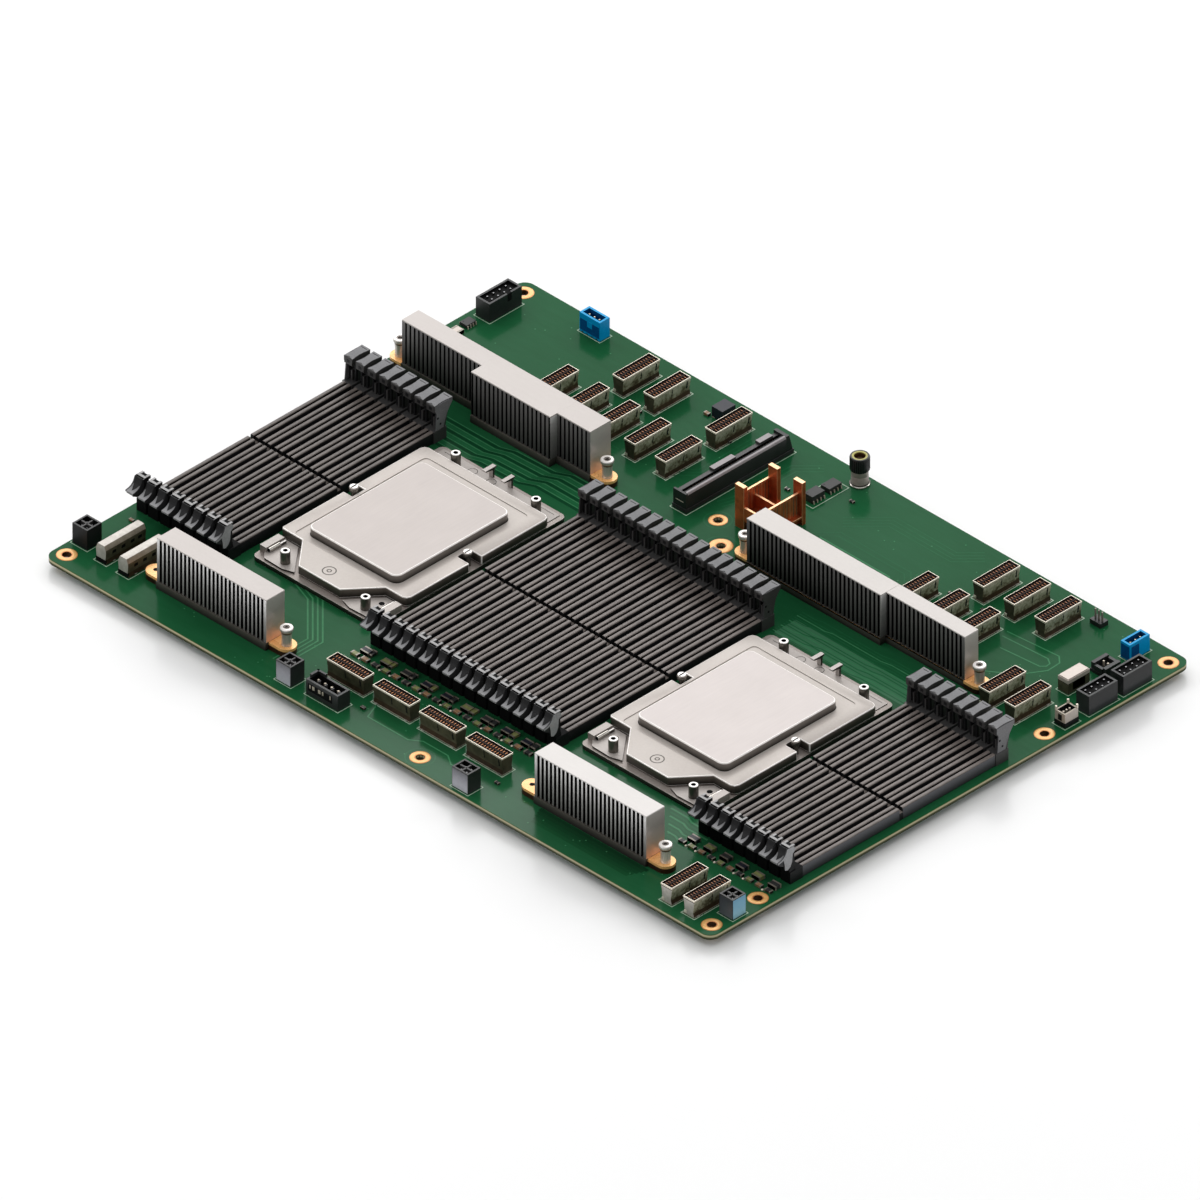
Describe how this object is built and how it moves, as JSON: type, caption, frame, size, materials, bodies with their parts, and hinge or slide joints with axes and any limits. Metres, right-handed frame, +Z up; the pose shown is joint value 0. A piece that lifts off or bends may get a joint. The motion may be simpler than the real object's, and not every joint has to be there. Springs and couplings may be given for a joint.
{
  "type": "server motherboard",
  "caption": "Flat green server board with two processor sockets, banks of memory sockets, finned heat sinks and cable sockets.",
  "frame": {"origin": "centre of the board in plan, on the underside of the processor backplates", "axes": "+X along the board's long side to the right, +Y to the rear edge, +Z up"},
  "size_m": [0.432, 0.312, 0.034],
  "materials": {
    "solder_mask": "glossy green solder mask on laminate",
    "socket_plastic": "moulded charcoal plastic",
    "frame_steel": "pressed plate, satin",
    "screw_steel": "turned, bright",
    "lid_nickel": "plated, finely brushed",
    "backplate_steel": "dark coated plate",
    "fin_aluminium": "bare, satin",
    "copper": "bare copper",
    "shell_metal": "tinned shell",
    "header_plastic": "moulded black plastic",
    "wafer_plastic": "moulded blue plastic",
    "standoff_metal": "turned, with a dark knurled cap",
    "chip_plastic": "moulded dark plastic"
  },
  "bodies": {
    "root": {"backplate_left": "backplate_steel", "backplate_right": "backplate_steel", "board_chips": "chip_plastic", "capped_standoff": "standoff_metal", "circuit_board": "solder_mask", "cooler_posts": "screw_steel", "copper_clip": "copper", "cpu_socket_left": "frame_steel", "cpu_socket_right": "frame_steel", "expansion_slot": "header_plastic", "frame_pins": "screw_steel", "heat_sink_front_left": "fin_aluminium", "heat_sink_front_right": "fin_aluminium", "heat_sink_rear_left": "fin_aluminium", "heat_sink_rear_right": "fin_aluminium", "load_frame_left": "frame_steel", "load_frame_right": "frame_steel", "memory_socket_centre_1": "socket_plastic", "memory_socket_centre_10": "socket_plastic", "memory_socket_centre_11": "socket_plastic", "memory_socket_centre_12": "socket_plastic", "memory_socket_centre_13": "socket_plastic", "memory_socket_centre_14": "socket_plastic", "memory_socket_centre_15": "socket_plastic", "memory_socket_centre_16": "socket_plastic", "memory_socket_centre_2": "socket_plastic", "memory_socket_centre_3": "socket_plastic", "memory_socket_centre_4": "socket_plastic", "memory_socket_centre_5": "socket_plastic", "memory_socket_centre_6": "socket_plastic", "memory_socket_centre_7": "socket_plastic", "memory_socket_centre_8": "socket_plastic", "memory_socket_centre_9": "socket_plastic", "memory_socket_left_1": "socket_plastic", "memory_socket_left_2": "socket_plastic", "memory_socket_left_3": "socket_plastic", "memory_socket_left_4": "socket_plastic", "memory_socket_left_5": "socket_plastic", "memory_socket_left_6": "socket_plastic", "memory_socket_left_7": "socket_plastic", "memory_socket_left_8": "socket_plastic", "memory_socket_right_1": "socket_plastic", "memory_socket_right_2": "socket_plastic", "memory_socket_right_3": "socket_plastic", "memory_socket_right_4": "socket_plastic", "memory_socket_right_5": "socket_plastic", "memory_socket_right_6": "socket_plastic", "memory_socket_right_7": "socket_plastic", "memory_socket_right_8": "socket_plastic", "power_headers": "header_plastic", "processor_left": "lid_nickel", "processor_right": "lid_nickel", "shielded_sockets": "shell_metal", "sink_bases": "copper", "sink_screws": "screw_steel", "slim_sockets_front": "shell_metal", "slim_sockets_rear_left": "shell_metal", "slim_sockets_rear_right": "shell_metal", "wafer_headers": "wafer_plastic"}
  },
  "joints": []
}
